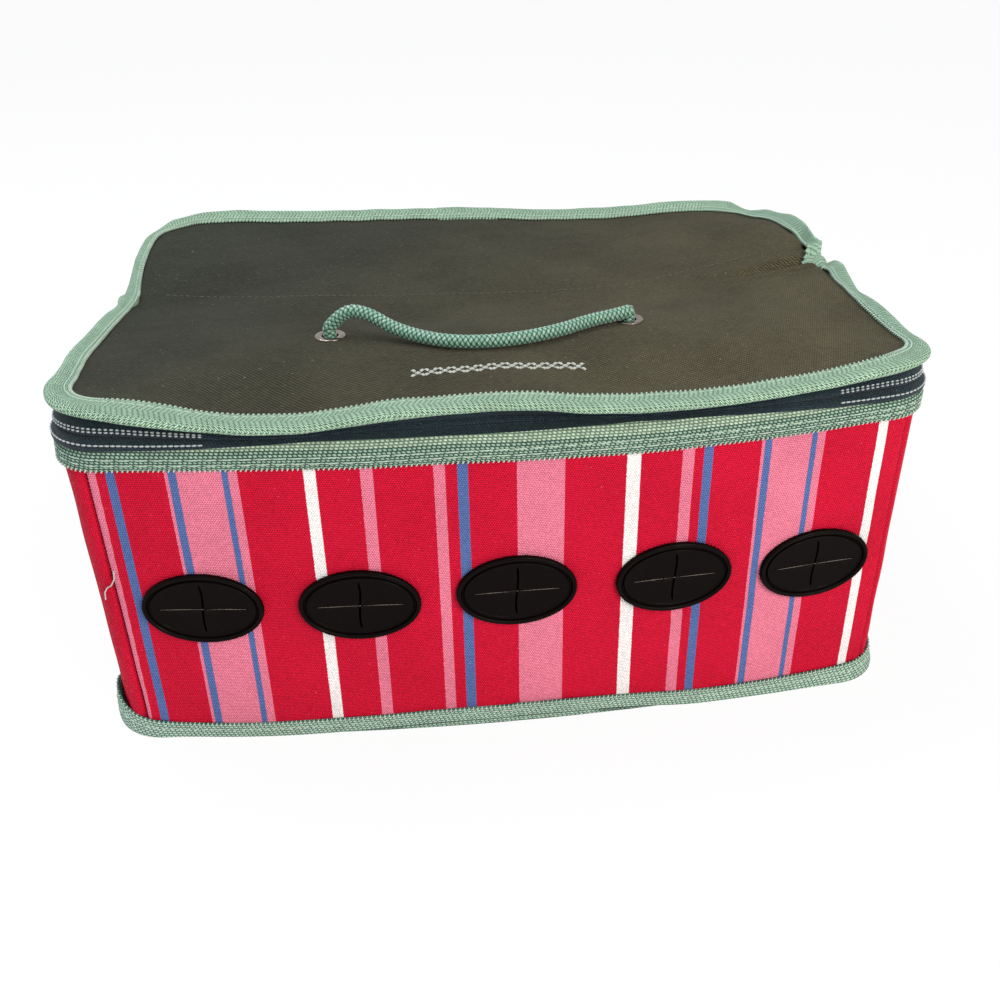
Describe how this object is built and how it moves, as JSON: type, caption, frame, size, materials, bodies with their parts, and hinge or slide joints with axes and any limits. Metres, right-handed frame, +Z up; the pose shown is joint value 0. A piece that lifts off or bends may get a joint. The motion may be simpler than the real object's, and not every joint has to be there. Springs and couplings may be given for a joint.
{
  "type": "ribbon organizer",
  "caption": "Soft sided box that dispenses ribbon through oval rubber slots in its front, with a rod for spools and a zipped, folding lid with a rope handle.",
  "frame": {"origin": "on the surface it stands on, at the middle of the box's footprint", "axes": "+X to the right of someone facing the slots, -Y towards the slots, +Z up"},
  "size_m": [0.348, 0.275, 0.1693],
  "materials": {
    "striped_canvas": "striped cotton canvas, crimson with pink, blue and white",
    "sage_webbing": "woven sage green webbing",
    "lid_twill": "dark olive grey twill",
    "grey_lining": "plain pale grey lining",
    "fibre_board": "grey-brown stiffening board",
    "zip_tape": "dark navy zip tape",
    "zip_coil": "near black nylon coil",
    "slot_rubber": "moulded near black rubber, satin",
    "retainer_plastic": "black plastic",
    "bracket_plastic": "off-white moulded plastic",
    "plated_steel": "nickel plated",
    "rod_wood": "plain beech dowel",
    "rope": "braided sage green cotton rope"
  },
  "bodies": {
    "box": {"front_panel": "striped_canvas", "back_panel": "striped_canvas", "left_panel": "striped_canvas", "right_panel": "striped_canvas", "base_panel": "striped_canvas", "front_board": "fibre_board", "back_board": "fibre_board", "left_board": "fibre_board", "right_board": "fibre_board", "base_board": "fibre_board", "front_lining": "grey_lining", "back_lining": "grey_lining", "left_lining": "grey_lining", "right_lining": "grey_lining", "base_lining": "grey_lining", "rim_binding": "sage_webbing", "base_binding": "sage_webbing", "ribbon_slot_1": "slot_rubber", "ribbon_slot_2": "slot_rubber", "ribbon_slot_3": "slot_rubber", "ribbon_slot_4": "slot_rubber", "ribbon_slot_5": "slot_rubber", "slot_retainer_1": "retainer_plastic", "slot_retainer_2": "retainer_plastic", "slot_retainer_3": "retainer_plastic", "slot_retainer_4": "retainer_plastic", "slot_retainer_5": "retainer_plastic", "rod_bracket_left": "bracket_plastic", "rod_bracket_right": "bracket_plastic", "bracket_rivets_left": "plated_steel", "bracket_rivets_right": "plated_steel", "zip_stop_left": "plated_steel", "zip_stop_right": "plated_steel", "lower_zip_tape": "zip_tape", "lower_zip_coil": "zip_coil"},
    "rod": {"spool_rod": "rod_wood"},
    "lid_rear": {"lid_rear_fabric": "lid_twill", "lid_rear_board": "fibre_board", "lid_rear_lining": "grey_lining", "lid_rear_binding": "sage_webbing", "lid_rear_zip_tape": "zip_tape", "lid_rear_zip_coil": "zip_coil", "lid_hinge_strip": "sage_webbing"},
    "lid_front": {"lid_front_fabric": "lid_twill", "lid_front_board": "fibre_board", "lid_front_lining": "grey_lining", "lid_front_binding": "sage_webbing", "lid_front_zip_tape": "zip_tape", "lid_front_zip_coil": "zip_coil", "lid_fold_strip": "lid_twill", "eyelet_left": "plated_steel", "eyelet_right": "plated_steel", "eyelet_washer_left": "plated_steel", "eyelet_washer_right": "plated_steel", "rope_knot_left": "rope", "rope_knot_right": "rope"},
    "handle": {"handle_rope": "rope"},
    "slider": {"zip_slider": "plated_steel"},
    "pull": {"zip_pull": "plated_steel"}
  },
  "joints": [
    {"name": "lid_hinge", "type": "hinge", "parent": "box", "child": "lid_rear", "pos_m": [0, 0.1375, 0.1511], "axis": [-1, 0, 0], "range_deg": [0, 110], "deforming": ["lid_hinge_strip"]},
    {"name": "lid_fold", "type": "hinge", "parent": "lid_rear", "child": "lid_front", "pos_m": [0, 0.025, 0.1567], "axis": [-1, 0, 0], "range_deg": [0, 150], "deforming": ["lid_fold_strip"]},
    {"name": "handle_swing", "type": "hinge", "parent": "lid_front", "child": "handle", "pos_m": [0, -0.059, 0.15935], "axis": [-1, 0, 0], "range_deg": [0, 90]},
    {"name": "slider_travel", "type": "slide", "parent": "box", "child": "slider", "axis": [0, -1, 0], "range_m": [0, 0.18]},
    {"name": "pull_swing", "type": "hinge", "parent": "slider", "child": "pull", "pos_m": [0.173, 0.09725, 0.1467], "axis": [0, 0, 1], "range_deg": [0, 170]},
    {"name": "rod_lift", "type": "slide", "parent": "box", "child": "rod", "axis": [0, 0, 1], "range_m": [0, 0.055]}
  ]
}
